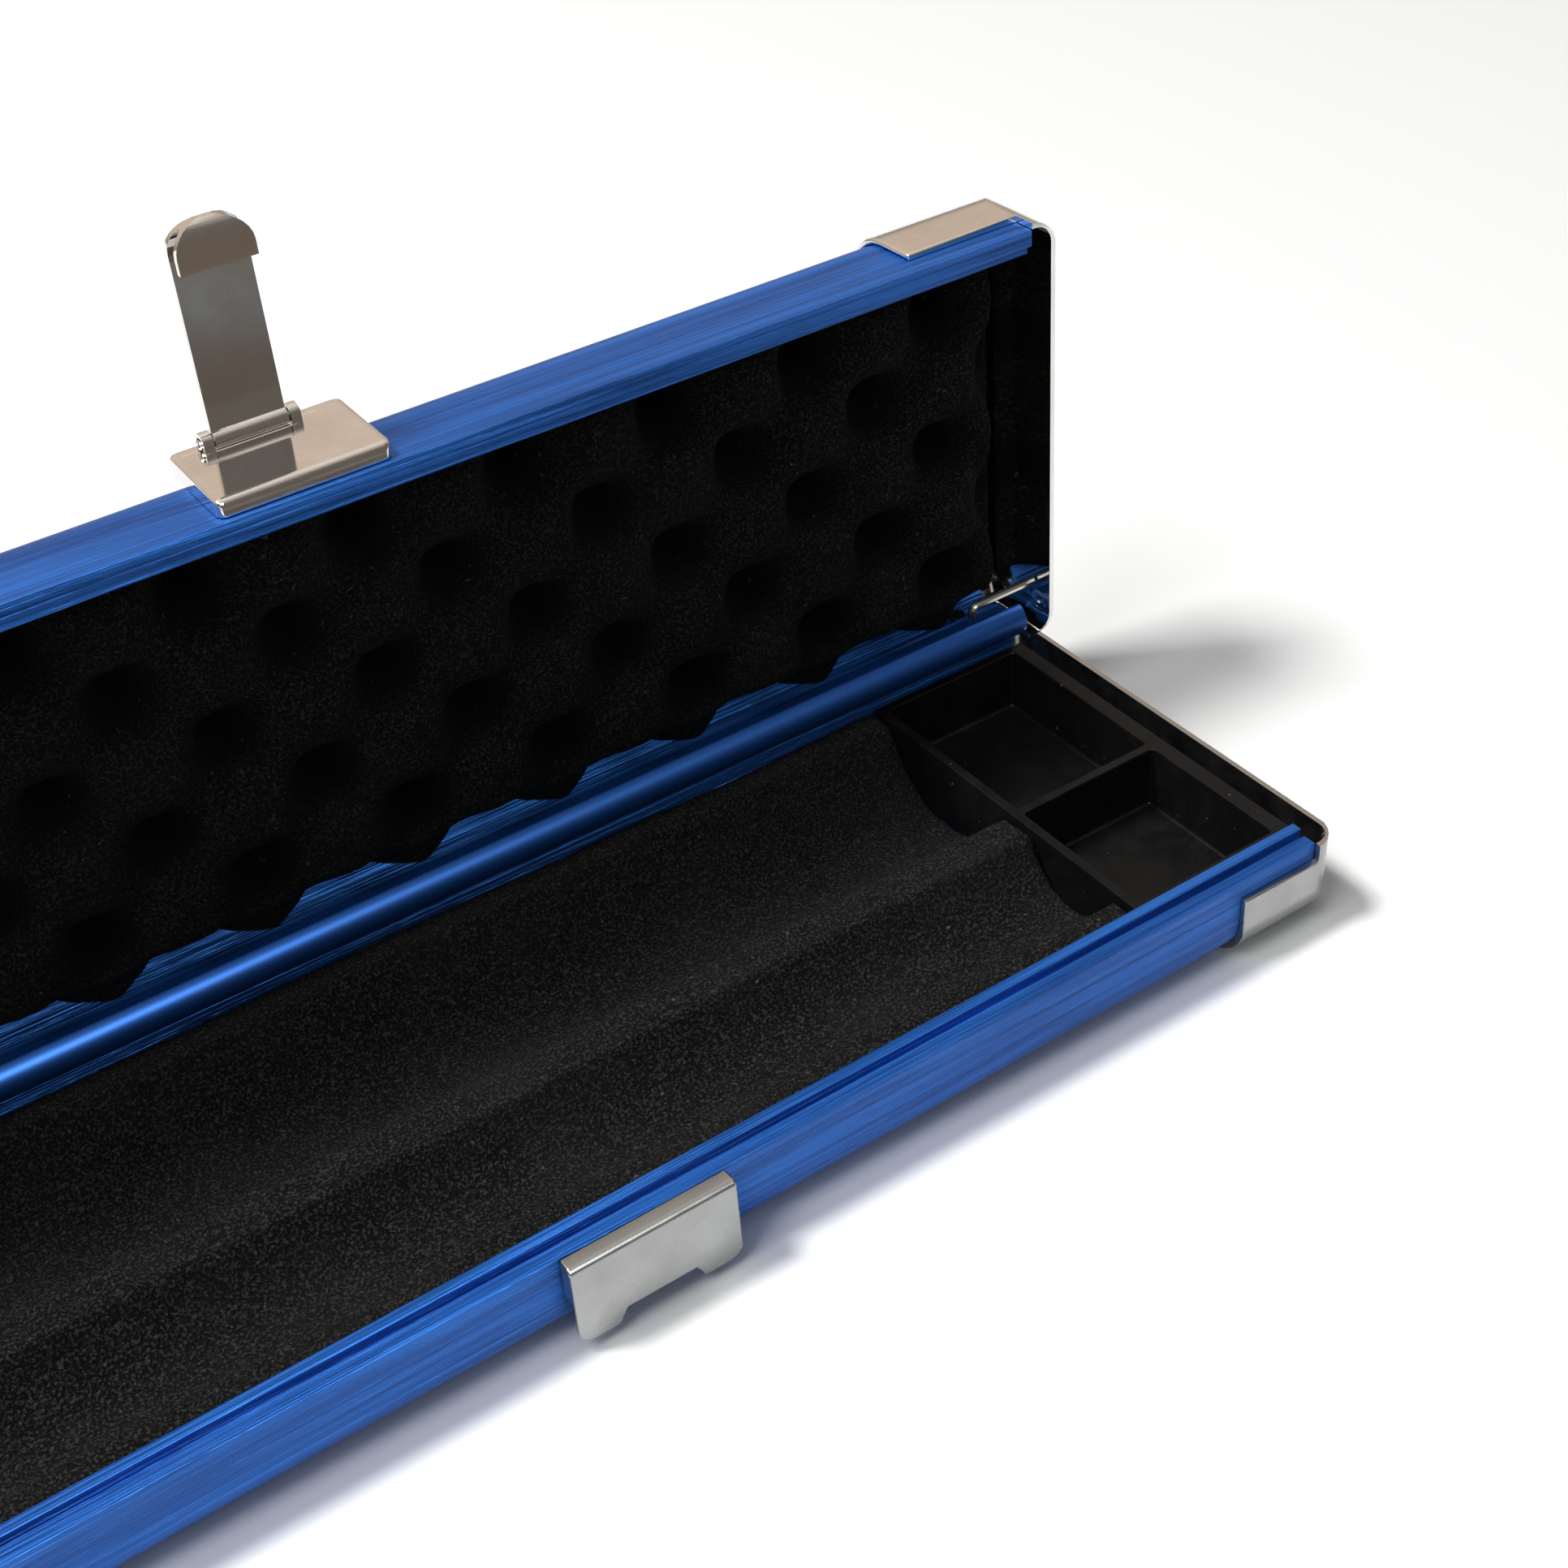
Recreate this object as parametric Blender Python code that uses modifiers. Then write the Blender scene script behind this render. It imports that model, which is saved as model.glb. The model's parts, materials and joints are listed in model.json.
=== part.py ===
"""Hinged aluminium cue case, lid open, for a jointed cue and its chalk and tips.

The origin is the centre of the body's underside. X runs along the case, Y from the
latch side (front, -Y) to the hinge side (+Y), Z up. Lid pieces are drawn in their
closed place and hang on an empty on the hinge axis, which swings them open.
Lengths are in metres; mm() turns millimetres into metres.
"""

import bmesh
import bpy
from math import atan2, cos, degrees, pi, radians, sin, sqrt


def mm(*values):
    """Millimetres as metres: one number, or a tuple of them."""
    scaled = tuple(value * 0.001 for value in values)
    return scaled[0] if len(scaled) == 1 else scaled


# Driving dimensions, in millimetres.
CASE_LENGTH = 840.0
CASE_WIDTH = 100.0
BODY_HEIGHT = 20.5
LID_HEIGHT = 24.0
WALL = 1.6
EDGE_RADIUS = 9.0
GAP = 0.3
OPEN_ANGLE = 91.2

HALF_LENGTH = CASE_LENGTH / 2
HALF_WIDTH = CASE_WIDTH / 2
LID_TOP = BODY_HEIGHT + LID_HEIGHT

# Hinge: a C-shaped socket along the body's rear wall holds a bar on the lid's rear wall.
HINGE_Y = 47.6
HINGE_Z = 26.9
SOCKET_RADIUS = 4.4
SOCKET_BORE = 2.7
BAR_RADIUS = 2.3
SLOT_FROM = -19.0
SLOT_TO = 108.0
NECK = 1.4

# Rim of both shells: an outer lip, then a tongue on the body and a recess in the lid.
LIP_WIDTH = 3.2
GROOVE_WIDTH = 1.0
GROOVE_DEPTH = 1.2
TONGUE_HEIGHT = 1.2
RIM_WIDTH = 6.6

# End caps.
CAP_WALL = 1.5
BODY_FLANGE = 27.0
LID_FLANGE = 35.0
CAP_CORNER = 7.0
CAP_INNER_CORNER = 4.2
BODY_FLANGE_DROP = 4.2
LID_FLANGE_RISE = 5.5
SHELL_END = HALF_LENGTH - 6.5
CAP_SWING_RADIUS = 6.2

# Interior.
TRAY_LEFT = HALF_LENGTH - 48.5
TRAY_RIGHT = HALF_LENGTH - 5.4
TRAY_FRONT = -42.8
TRAY_BACK = 46.8
TRAY_TOP = 19.3
TRAY_WALL = 2.2
TRAY_RIM = 4.1
TRAY_FLOOR = 2.1
TRAY_POCKET_RADIUS = 0.9
TRAY_DIVIDER_Y = -2.5
LINING_RADIUS = 7.1
FOAM_TOP = 19.2
BUTT_CHANNEL = (19.0, 21.0, 15.0)
SHAFT_CHANNEL = (-23.5, 13.5, 10.5)
LID_FOAM_FACE = 28.0
LID_FOAM_BACK = 45.2
LID_FOAM_FRONT = -46.9

# Latches and keepers.
LATCH_X = HALF_LENGTH - 172.5
PLATE_SHIFT = 2.0
KEEPER_SHIFT = 1.1
KEEPER_WIDTH = 35.0
KEEPER_PROUD = 4.0
KEEPER_LIP = 1.2
KEEPER_BOTTOM = 1.1
KEEPER_LOBE = 3.2
KEEPER_REBATE = 10.8
KEEPER_TOP_ROUND = 1.4
NOTCH_WIDTH = 17.0
NOTCH_ROUND = 1.4
NOTCH_TOP = 4.3
LATCH_WIDTH = 34.0
LATCH_FROM = 1.5
LATCH_TO = 23.8
LATCH_PROUD_NEAR = 3.5
LATCH_PROUD_FAR = 4.2
LEVER_PIVOT_OUT = 5.3
LEVER_PIVOT_UP = 20.5
LEVER_WIDTH = 14.4
LEVER_THICK = 1.3
LEVER_REACH = 41.3
LEVER_CURL = 2.15
LEVER_CROWN = 6.0
LEVER_LIP = 2.4
LEVER_BARREL = 2.0
LEVER_ARCH = 5.6
PIN_RADIUS = 1.0
EAR_THICK = 2.0
EAR_RADIUS = 2.1
PLATE_ROUND = 1.5

# Carry handle.
HANDLE_SPAN = 94.0
HANDLE_REACH = 30.0
HANDLE_PIVOT_OUT = 4.6
HANDLE_PIVOT_Z = 8.5
HANDLE_ROD = 2.3
HANDLE_CORNER = 9.0
HANDLE_BEND = 4.0
BRACKET_WIDTH = 9.0
BRACKET_NOSE = 4.2
HANDLE_DROOP = 7.0
GRIP_RADIUS = 6.0
GRIP_LENGTH = 62.0

# Hinge clips.
CLIP_WIRE = 1.0
CLIP_LENGTH = 18.0
CLIP_BEND = 1.5
CLIP_Y = 39.5
CLIP_Z = 26.3

# Rivets: through the caps' rear flanges, and from inside the front walls into the fittings.
RIVET_SHANK = 1.4
RIVET_HOLE = 1.7
RIVET_HEAD = 2.6
BODY_CAP_RIVET_Z = 11.5
LID_CAP_RIVET_Z = 35.6
CAP_RIVET_INSET = 17.0
KEEPER_RIVET_OFFSET = 11.0
KEEPER_RIVET_Z = 13.6
BRACKET_RIVET_Z = 13.4
LATCH_RIVET_OFFSET = 13.0
LATCH_RIVET_Z = BODY_HEIGHT + 10.0

SIDES = (("left", -1), ("right", 1))
COLLECTION = "cue_case"
COLOURS = {
    "blue_anodised": ((0.02, 0.10, 0.42), 0.32, 0.9),
    "chrome": ((0.72, 0.70, 0.68), 0.12, 1.0),
    "steel": ((0.60, 0.60, 0.62), 0.25, 1.0),
    "black_foam": ((0.012, 0.012, 0.013), 0.95, 0.0),
    "black_plastic": ((0.02, 0.02, 0.02), 0.40, 0.0),
    "black_rubber": ((0.015, 0.015, 0.015), 0.70, 0.0),
}


def clear_scene():
    for thing in list(bpy.data.objects):
        bpy.data.objects.remove(thing, do_unlink=True)


def new_collection(name):
    collection = bpy.data.collections.new(name)
    bpy.context.scene.collection.children.link(collection)
    return collection


def finish_of(node, kind):
    """A Principled material of the node's own, in the colour of its kind."""
    colour, roughness, metallic = COLOURS[kind]
    material = bpy.data.materials.new(f"{node}_{kind}")
    material.use_nodes = True
    shader = material.node_tree.nodes["Principled BSDF"]
    shader.inputs["Base Color"].default_value = (*colour, 1.0)
    shader.inputs["Roughness"].default_value = roughness
    shader.inputs["Metallic"].default_value = metallic
    return material


class Frame:
    """A place to hang pieces from: an empty, and where it is when the lid is closed."""

    def __init__(self, name, at, parent=None, turn=0.0):
        self.at = at
        self.empty = bpy.data.objects.new(name, None)
        parts.objects.link(self.empty)
        base = (0.0, 0.0, 0.0)
        if parent is not None:
            self.empty.parent = parent.empty
            base = parent.at
        self.empty.location = mm(*(a - b for a, b in zip(at, base)))
        self.empty.rotation_euler = (radians(turn), 0.0, 0.0)


def place(thing, frame, at=(0.0, 0.0, 0.0)):
    """Hang a piece on a frame, with its origin at a closed-case position in millimetres."""
    thing.parent = frame.empty
    thing.location = mm(*(a - b for a, b in zip(at, frame.at)))
    return thing


def arc(centre, radius, start, end, steps=6):
    """Points of an arc in (across, up), angles in degrees from the first axis."""
    points = []
    for step in range(steps + 1):
        angle = radians(start + (end - start) * step / steps)
        points.append((centre[0] + radius * cos(angle), centre[1] + radius * sin(angle)))
    return points


def flat_curve(name, outlines, thickness):
    """A filled 2D curve of closed outlines, extruded both ways to the thickness."""
    curve = bpy.data.curves.new(name, "CURVE")
    curve.dimensions = "2D"
    curve.fill_mode = "BOTH"
    curve.extrude = mm(thickness / 2)
    curve.resolution_u = 1
    for outline in outlines:
        spline = curve.splines.new("POLY")
        spline.points.add(len(outline) - 1)
        for point, (across, up) in zip(spline.points, outline):
            point.co = (mm(across), mm(up), 0.0, 1.0)
        spline.use_cyclic_u = True
    return bpy.data.objects.new(name, curve)


def as_mesh(thing, keep_in=None):
    """The same piece as a mesh object, its caps welded, in the same place and parent."""
    (keep_in or parts).objects.link(thing)
    bpy.context.view_layer.update()
    evaluated = thing.evaluated_get(bpy.context.evaluated_depsgraph_get())
    mesh = bpy.data.meshes.new_from_object(evaluated)
    shape = bmesh.new()
    shape.from_mesh(mesh)
    bmesh.ops.remove_doubles(shape, verts=shape.verts, dist=1e-6)
    bmesh.ops.recalc_face_normals(shape, faces=shape.faces)
    shape.to_mesh(mesh)
    shape.free()
    name = thing.name
    solid = bpy.data.objects.new(name + "_mesh", mesh)
    solid.parent = thing.parent
    solid.location = thing.location
    solid.rotation_euler = thing.rotation_euler
    (keep_in or parts).objects.link(solid)
    bpy.data.objects.remove(thing, do_unlink=True)
    solid.name = name
    return solid


def along_x(name, outlines, low, high, frame, at=(0.0, 0.0), keep_in=None):
    """Outlines in (y, z) about a point, extruded along X from low to high, as a mesh."""
    thing = flat_curve(name, outlines, high - low)
    thing.rotation_euler = (pi / 2, 0.0, pi / 2)
    place(thing, frame, ((low + high) / 2, at[0], at[1]))
    return as_mesh(thing, keep_in)


def along_z(name, outlines, low, high, frame, keep_in=None):
    """Outlines in (x, y), extruded along Z from low to high, as a mesh."""
    thing = flat_curve(name, outlines, high - low)
    place(thing, frame, (0.0, 0.0, (low + high) / 2))
    return as_mesh(thing, keep_in)


def cutter_box(name, low, high, frame):
    """A box between two corners, kept as a cutter."""
    size = [b - a for a, b in zip(low, high)]
    middle = [(a + b) / 2 for a, b in zip(low, high)]
    mesh = bpy.data.meshes.new(name)
    shape = bmesh.new()
    bmesh.ops.create_cube(shape, size=1.0)
    bmesh.ops.scale(shape, vec=mm(*size), verts=shape.verts)
    shape.to_mesh(mesh)
    shape.free()
    box = bpy.data.objects.new(name, mesh)
    cutters.objects.link(box)
    return place(box, frame, middle)


def cutter_rod(name, centre, radius, length, axis, frame, sides=16):
    """A round rod along X or Y, kept as a cutter."""
    mesh = bpy.data.meshes.new(name)
    shape = bmesh.new()
    bmesh.ops.create_cone(shape, cap_ends=True, segments=sides, radius1=mm(radius),
                          radius2=mm(radius), depth=mm(length))
    shape.to_mesh(mesh)
    shape.free()
    rod = bpy.data.objects.new(name, mesh)
    rod.rotation_euler = (0.0, pi / 2, 0.0) if axis == "x" else (pi / 2, 0.0, 0.0)
    cutters.objects.link(rod)
    return place(rod, frame, centre)


def boolean(target, cutter, operation="DIFFERENCE"):
    """Add a Boolean modifier, and mark its operand as a cutter."""
    modifier = target.modifiers.new(operation.lower(), "BOOLEAN")
    modifier.operation = operation
    modifier.object = cutter
    cutter.hide_render = True
    cutter.display_type = "WIRE"


def soften(thing, width, segments=2, angle=40.0):
    """Round a mesh's sharp edges."""
    bevel = thing.modifiers.new("rounded_edges", "BEVEL")
    bevel.width = mm(width)
    bevel.segments = segments
    bevel.limit_method = "ANGLE"
    bevel.angle_limit = radians(angle)


def finish(thing, kind, smooth=True):
    """Give a piece its material and shading."""
    thing.data.materials.clear()
    thing.data.materials.append(finish_of(thing.name, kind))
    if smooth:
        thing.data.shade_smooth()
        thing.data.set_sharp_from_angle(angle=radians(35))
    return thing


def socket_outline():
    """The part of the body's section that wraps the lid's bar, from outer wall to inner wall."""
    centre = (HINGE_Y, HINGE_Z)
    outer = HALF_WIDTH - HINGE_Y
    inner = outer - WALL
    meets_outer = degrees(atan2(-sqrt(SOCKET_RADIUS**2 - outer**2), outer))
    meets_inner = degrees(atan2(-sqrt(SOCKET_RADIUS**2 - inner**2), inner)) + 360.0
    return (
        arc(centre, SOCKET_RADIUS, meets_outer, SLOT_FROM, 4)
        + arc(centre, SOCKET_BORE, SLOT_FROM, SLOT_TO - 360.0, 16)
        + arc(centre, SOCKET_RADIUS, SLOT_TO, meets_inner, 18)
    )


def body_section():
    """Closed outline of the body extrusion in (y, z)."""
    flat = HALF_WIDTH - EDGE_RADIUS
    inside = EDGE_RADIUS - WALL
    face = HALF_WIDTH
    groove = face - LIP_WIDTH
    tongue = groove - GROOVE_WIDTH
    rim = face - RIM_WIDTH
    return (
        arc((flat, EDGE_RADIUS), EDGE_RADIUS, -90, 0)
        + socket_outline()
        + arc((flat, EDGE_RADIUS), inside, 0, -90)
        + arc((-flat, EDGE_RADIUS), inside, -90, -180)
        + [
            (-face + WALL, BODY_HEIGHT - 3.6),
            (-rim, BODY_HEIGHT - 1.9),
            (-rim, BODY_HEIGHT + TONGUE_HEIGHT),
            (-tongue, BODY_HEIGHT + TONGUE_HEIGHT),
            (-tongue, BODY_HEIGHT - GROOVE_DEPTH),
            (-groove, BODY_HEIGHT - GROOVE_DEPTH),
            (-groove, BODY_HEIGHT),
            (-face, BODY_HEIGHT),
        ]
        + arc((-flat, EDGE_RADIUS), EDGE_RADIUS, 180, 270)
    )


def lid_section():
    """Closed outline of the lid extrusion in (y, z), lid closed."""
    flat = HALF_WIDTH - EDGE_RADIUS
    inside = EDGE_RADIUS - WALL
    face = HALF_WIDTH
    turn = LID_TOP - EDGE_RADIUS
    mouth = BODY_HEIGHT + GAP
    recess = BODY_HEIGHT + TONGUE_HEIGHT + 0.5
    foot = HINGE_Z + SOCKET_RADIUS + 0.5
    half_neck = NECK / 2
    neck_root = degrees(atan2(sqrt(BAR_RADIUS**2 - half_neck**2), half_neck))
    return (
        [
            (-face, mouth),
            (-face + LIP_WIDTH + 0.4, mouth),
            (-face + LIP_WIDTH + 0.4, recess),
            (-face + RIM_WIDTH - 0.9, recess),
            (-face + RIM_WIDTH - 0.9, recess + 1.3),
            (-face + WALL, recess + 2.6),
        ]
        + arc((-flat, turn), inside, 180, 90)
        + arc((flat, turn), inside, 90, 0)
        + [(face - WALL, foot + 1.4), (HINGE_Y - half_neck, foot + 1.4)]
        + arc((HINGE_Y, HINGE_Z), BAR_RADIUS, 180 - neck_root, 360 + neck_root, 16)
        + [(HINGE_Y + half_neck, foot), (face, foot)]
        + arc((flat, turn), EDGE_RADIUS, 0, 90)
        + arc((-flat, turn), EDGE_RADIUS, 90, 180)
    )


def make_shells():
    """The two extrusions, with the rivet holes their caps and fittings need."""
    shell = along_x("body_shell", [body_section()], -SHELL_END, SHELL_END, body)
    for index, (x, y, z) in enumerate(body_rivet_places()):
        boolean(shell, cutter_rod(f"shell_hole_{index}", (x, y, z), RIVET_HOLE, 12, "y", body, 12))
    finish(shell, "blue_anodised")
    shell = along_x("lid_shell", [lid_section()], -SHELL_END, SHELL_END, lid)
    for index, (x, y, z) in enumerate(lid_rivet_places()):
        boolean(shell, cutter_rod(f"lid_hole_{index}", (x, y, z), RIVET_HOLE, 12, "y", lid, 12))
    finish(shell, "blue_anodised")


def plan_outline(side, inset, corner, flange):
    """Outline of an end cap seen from above, from the flange's edge to the rounded end."""
    across = HALF_WIDTH + CAP_WALL - inset
    end = HALF_LENGTH - inset
    start = HALF_LENGTH - flange
    points = (
        [(start, -across)]
        + arc((end - corner, -across + corner), corner, -90, 0)
        + arc((end - corner, across - corner), corner, 0, 90)
        + [(start, across)]
    )
    return [(side * x, y) for x, y in points]


def body_cap_section(inset):
    """Section of a body cap: the shell's outline, grown by the cap's wall less the inset."""
    half = HALF_WIDTH + CAP_WALL - inset
    low = -CAP_WALL + inset
    radius = EDGE_RADIUS + CAP_WALL - inset
    top = BODY_HEIGHT + (5.0 if inset else 0.0)
    return (
        arc((-half + radius, low + radius), radius, 180, 270)
        + arc((half - radius, low + radius), radius, 270, 360)
        + [(half, top), (-half, top)]
    )


def lid_cap_section(inset):
    """Section of a lid cap, with its hinge corner rounded about the hinge axis."""
    half = HALF_WIDTH + CAP_WALL - inset
    high = LID_TOP + CAP_WALL - inset
    radius = EDGE_RADIUS + CAP_WALL - inset
    mouth = BODY_HEIGHT + GAP
    if inset:
        corner = [(half, mouth - 5.0), (-half, mouth - 5.0)]
    else:
        beside = HALF_WIDTH + CAP_WALL - HINGE_Y
        end = degrees(atan2(-sqrt(CAP_SWING_RADIUS**2 - beside**2), beside))
        start = degrees(atan2(mouth - HINGE_Z, 1.0))
        corner = arc((HINGE_Y, HINGE_Z), CAP_SWING_RADIUS, end, start, 4) + [(-half, mouth)]
    return (
        corner
        + arc((-half + radius, high - radius), radius, 180, 90)
        + arc((half - radius, high - radius), radius, 90, 0)
    )


def make_cap(name, side, section, flange, windows, frame):
    """A drawn end cap: an end plate and a wrap-round flange, open where the shell shows."""
    start, end = sorted((side * (HALF_LENGTH - flange), side * HALF_LENGTH))
    cap = along_x(name, [section(0.0)], start, end, frame)
    plan = along_z(f"{name}_plan", [plan_outline(side, 0.0, CAP_CORNER, flange + 1.0)], -10.0,
                   LID_TOP + 10.0, frame, cutters)
    boolean(cap, plan, "INTERSECT")
    inset = CAP_WALL - 0.15
    start, end = sorted((side * (HALF_LENGTH - flange - 2.0), side * (HALF_LENGTH - inset)))
    cavity = along_x(f"{name}_cavity", [section(inset)], start, end, frame, keep_in=cutters)
    inner_plan = plan_outline(side, inset, CAP_INNER_CORNER, flange + 4.0)
    rounded = along_z(f"{name}_cavity_plan", [inner_plan], -12.0, LID_TOP + 12.0, frame, cutters)
    boolean(cavity, rounded, "INTERSECT")
    boolean(cap, cavity)
    for index, (y_low, y_high, z_low, z_high) in enumerate(windows):
        x_low, x_high = sorted((side * (HALF_LENGTH - flange - 3.0), side * SHELL_END))
        window = cutter_box(f"{name}_window_{index}", (x_low, y_low, z_low),
                            (x_high, y_high, z_high), frame)
        boolean(cap, window)
    return cap


def make_caps():
    wide = HALF_WIDTH + 6.0
    body_top = BODY_HEIGHT - BODY_FLANGE_DROP
    body_windows = [(-wide, wide, body_top, BODY_HEIGHT + 6.0)]
    lid_windows = [
        (-wide, 0.0, BODY_HEIGHT - 6.0, BODY_HEIGHT + LID_FLANGE_RISE),
        (0.0, wide, BODY_HEIGHT - 6.0, HINGE_Z + SOCKET_RADIUS + 1.6),
    ]
    for word, side in SIDES:
        cap = make_cap(f"body_cap_{word}", side, body_cap_section, BODY_FLANGE, body_windows, body)
        for index, place_of in enumerate(cap_rivet_places(BODY_CAP_RIVET_Z)):
            if place_of[0] * side > 0:
                boolean(cap, cutter_rod(f"cap_hole_{word}_{index}", place_of, RIVET_HOLE, 12,
                                        "y", body, 12))
        finish(cap, "chrome")
        cap = make_cap(f"lid_cap_{word}", side, lid_cap_section, LID_FLANGE, lid_windows, lid)
        for index, place_of in enumerate(cap_rivet_places(LID_CAP_RIVET_Z)):
            if place_of[0] * side > 0:
                boolean(cap, cutter_rod(f"lid_cap_hole_{word}_{index}", place_of, RIVET_HOLE, 12,
                                        "y", lid, 12))
        finish(cap, "chrome")


def cap_rivet_places(height):
    x = HALF_LENGTH - CAP_RIVET_INSET
    return [(side * x, HALF_WIDTH, height) for _, side in SIDES]


def keeper_centre(side):
    return side * (LATCH_X + KEEPER_SHIFT)


def keeper_rivet_places():
    return [
        (keeper_centre(side) + end * KEEPER_RIVET_OFFSET, -HALF_WIDTH, KEEPER_RIVET_Z)
        for _, side in SIDES
        for end in (-1, 1)
    ]


def bracket_centre(side):
    return side * (HANDLE_SPAN / 2 + HANDLE_BEND + BRACKET_WIDTH / 2 + 1.5)


def bracket_rivet_places():
    return [(bracket_centre(side), -HALF_WIDTH, BRACKET_RIVET_Z) for _, side in SIDES]


def body_rivet_places():
    return cap_rivet_places(BODY_CAP_RIVET_Z) + keeper_rivet_places() + bracket_rivet_places()


def latch_rivet_places():
    return [
        (side * (LATCH_X + PLATE_SHIFT) + end * LATCH_RIVET_OFFSET, -HALF_WIDTH, LATCH_RIVET_Z)
        for _, side in SIDES
        for end in (-1, 1)
    ]


def lid_rivet_places():
    return cap_rivet_places(LID_CAP_RIVET_Z) + latch_rivet_places()


def turned(name, profile, steps, closed=False):
    """A piece turned about its own Z from a profile of (radius, height), top to bottom.

    A closed profile joins its last point to its first, for a piece with a bore.
    """
    mesh = bpy.data.meshes.new(name)
    shape = bmesh.new()
    ring = [shape.verts.new(mm(radius, 0.0, height)) for radius, height in profile]
    for pair in zip(ring, ring[1:] + ring[:1] if closed else ring[1:]):
        shape.edges.new(pair)
    shape.to_mesh(mesh)
    shape.free()
    thing = bpy.data.objects.new(name, mesh)
    screw = thing.modifiers.new("turned", "SCREW")
    screw.steps = steps
    screw.render_steps = steps
    screw.use_merge_vertices = True
    screw.merge_threshold = 0.00001
    screw.use_smooth_shade = True
    parts.objects.link(thing)
    return thing


def make_rivets():
    """Rivets through the caps' rear flanges, and blind ones into the front fittings."""
    inside = -WALL - GAP
    through = CAP_WALL + GAP
    clenched = inside - 0.3
    flanged = [
        (0.0, through + 1.0), (RIVET_HEAD * 0.6, through + 0.85), (RIVET_HEAD, through),
        (RIVET_SHANK, through), (RIVET_SHANK, clenched), (RIVET_SHANK + 0.7, clenched),
        (RIVET_SHANK + 0.5, clenched - 0.7), (0.0, clenched - 0.8),
    ]
    blind = [
        (0.0, 2.4), (RIVET_SHANK, 2.4), (RIVET_SHANK, inside), (RIVET_HEAD, inside),
        (RIVET_HEAD * 0.6, inside - 0.7), (0.0, inside - 0.8),
    ]
    sets = (
        ("body_cap_rivet", cap_rivet_places(BODY_CAP_RIVET_Z), flanged, body, -1),
        ("lid_cap_rivet", cap_rivet_places(LID_CAP_RIVET_Z), flanged, lid, -1),
        ("keeper_rivet", keeper_rivet_places(), blind, body, 1),
        ("handle_rivet", bracket_rivet_places(), blind, body, 1),
        ("latch_rivet", latch_rivet_places(), blind, lid, 1),
    )
    for name, places, profile, frame, quarter in sets:
        for index, spot in enumerate(places):
            rivet = turned(f"{name}_{index + 1}", profile, 12)
            rivet.rotation_euler = (quarter * pi / 2, 0.0, 0.0)
            place(rivet, frame, spot)
            finish(rivet, "steel", smooth=False)


def lining_outline(front, back, top, low):
    """Closed outline of a piece that lines the body: flat bottom, rounded lower corners."""
    base = low + LINING_RADIUS
    return (
        arc((front + LINING_RADIUS, base), LINING_RADIUS, 180, 270)
        + arc((back - LINING_RADIUS, base), LINING_RADIUS, 270, 360)
        + [(back, top), (front, top)]
    )


def make_tray():
    """The accessory tray: one moulding with two pockets."""
    low = WALL + GAP
    outline = lining_outline(TRAY_FRONT, TRAY_BACK, TRAY_TOP, low)
    tray = along_x("accessory_tray", [outline], TRAY_LEFT, TRAY_RIGHT, body)
    half_divider = TRAY_WALL / 2
    pockets = (
        ("front", TRAY_FRONT + TRAY_WALL, TRAY_DIVIDER_Y - half_divider),
        ("back", TRAY_DIVIDER_Y + half_divider, TRAY_BACK - TRAY_WALL),
    )
    for word, front, back in pockets:
        pocket = cutter_box(
            f"tray_pocket_{word}",
            (TRAY_LEFT + TRAY_WALL, front, low + TRAY_FLOOR),
            (TRAY_RIGHT - TRAY_RIM, back, TRAY_TOP + 4.0),
            body,
        )
        soften(pocket, TRAY_POCKET_RADIUS, 3)
        boolean(tray, pocket)
    finish(tray, "black_plastic")


def channel_drop(y, channel):
    """How far a channel's floor lies below the foam's top at y."""
    centre, half, depth = channel
    reach = abs(y - centre) / half
    return depth * (1 - reach**2.4) if reach < 1 else 0.0


def make_body_foam():
    """The cue bed: a wide channel for the butt and a narrow one for the shaft."""
    low = WALL + GAP
    outline = lining_outline(TRAY_FRONT, TRAY_BACK, FOAM_TOP, low)[:-2]
    steps = 44
    for step in range(steps + 1):
        y = TRAY_BACK + (TRAY_FRONT - TRAY_BACK) * step / steps
        drop = channel_drop(y, BUTT_CHANNEL) + channel_drop(y, SHAFT_CHANNEL)
        outline.append((y, FOAM_TOP - drop))
    foam = along_x("body_foam", [outline], -SHELL_END + 2.0, TRAY_LEFT - GAP - 0.3, body)
    finish(foam, "black_foam")


def make_lid_foam():
    """The lid's pad, in its plain outer shape, stepped back from the hinge socket."""
    high = LID_TOP - WALL - GAP
    turn = high - LINING_RADIUS
    outline = (
        [(LID_FOAM_FRONT, LID_FOAM_FACE)]
        + arc((LID_FOAM_FRONT + LINING_RADIUS, turn), LINING_RADIUS, 180, 90)
        + arc((LID_FOAM_BACK - LINING_RADIUS, turn), LINING_RADIUS, 90, 0)
        + [(LID_FOAM_BACK, HINGE_Z + 5.2), (HINGE_Y - 5.2, HINGE_Z + 5.2),
           (HINGE_Y - 5.2, LID_FOAM_FACE)]
    )
    foam = along_x("lid_foam", [outline], -SHELL_END + 2.0, HALF_LENGTH - 11.5, lid)
    finish(foam, "black_foam")


def keeper_face():
    """Front view of a keeper in (x, z) about its centre: two round lobes beside a notch."""
    half = KEEPER_WIDTH / 2
    notch = NOTCH_WIDTH / 2
    lobe = KEEPER_BOTTOM + KEEPER_LOBE
    right = (
        [(notch - 1.2, NOTCH_TOP)]
        + arc((notch + NOTCH_ROUND, KEEPER_BOTTOM + NOTCH_ROUND), NOTCH_ROUND, 180, 270, 3)
        + arc((half - KEEPER_LOBE, lobe), KEEPER_LOBE, 270, 360, 4)
        + [(half, BODY_HEIGHT + 1.0)]
    )
    return right + [(-x, z) for x, z in reversed(right)]


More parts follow.
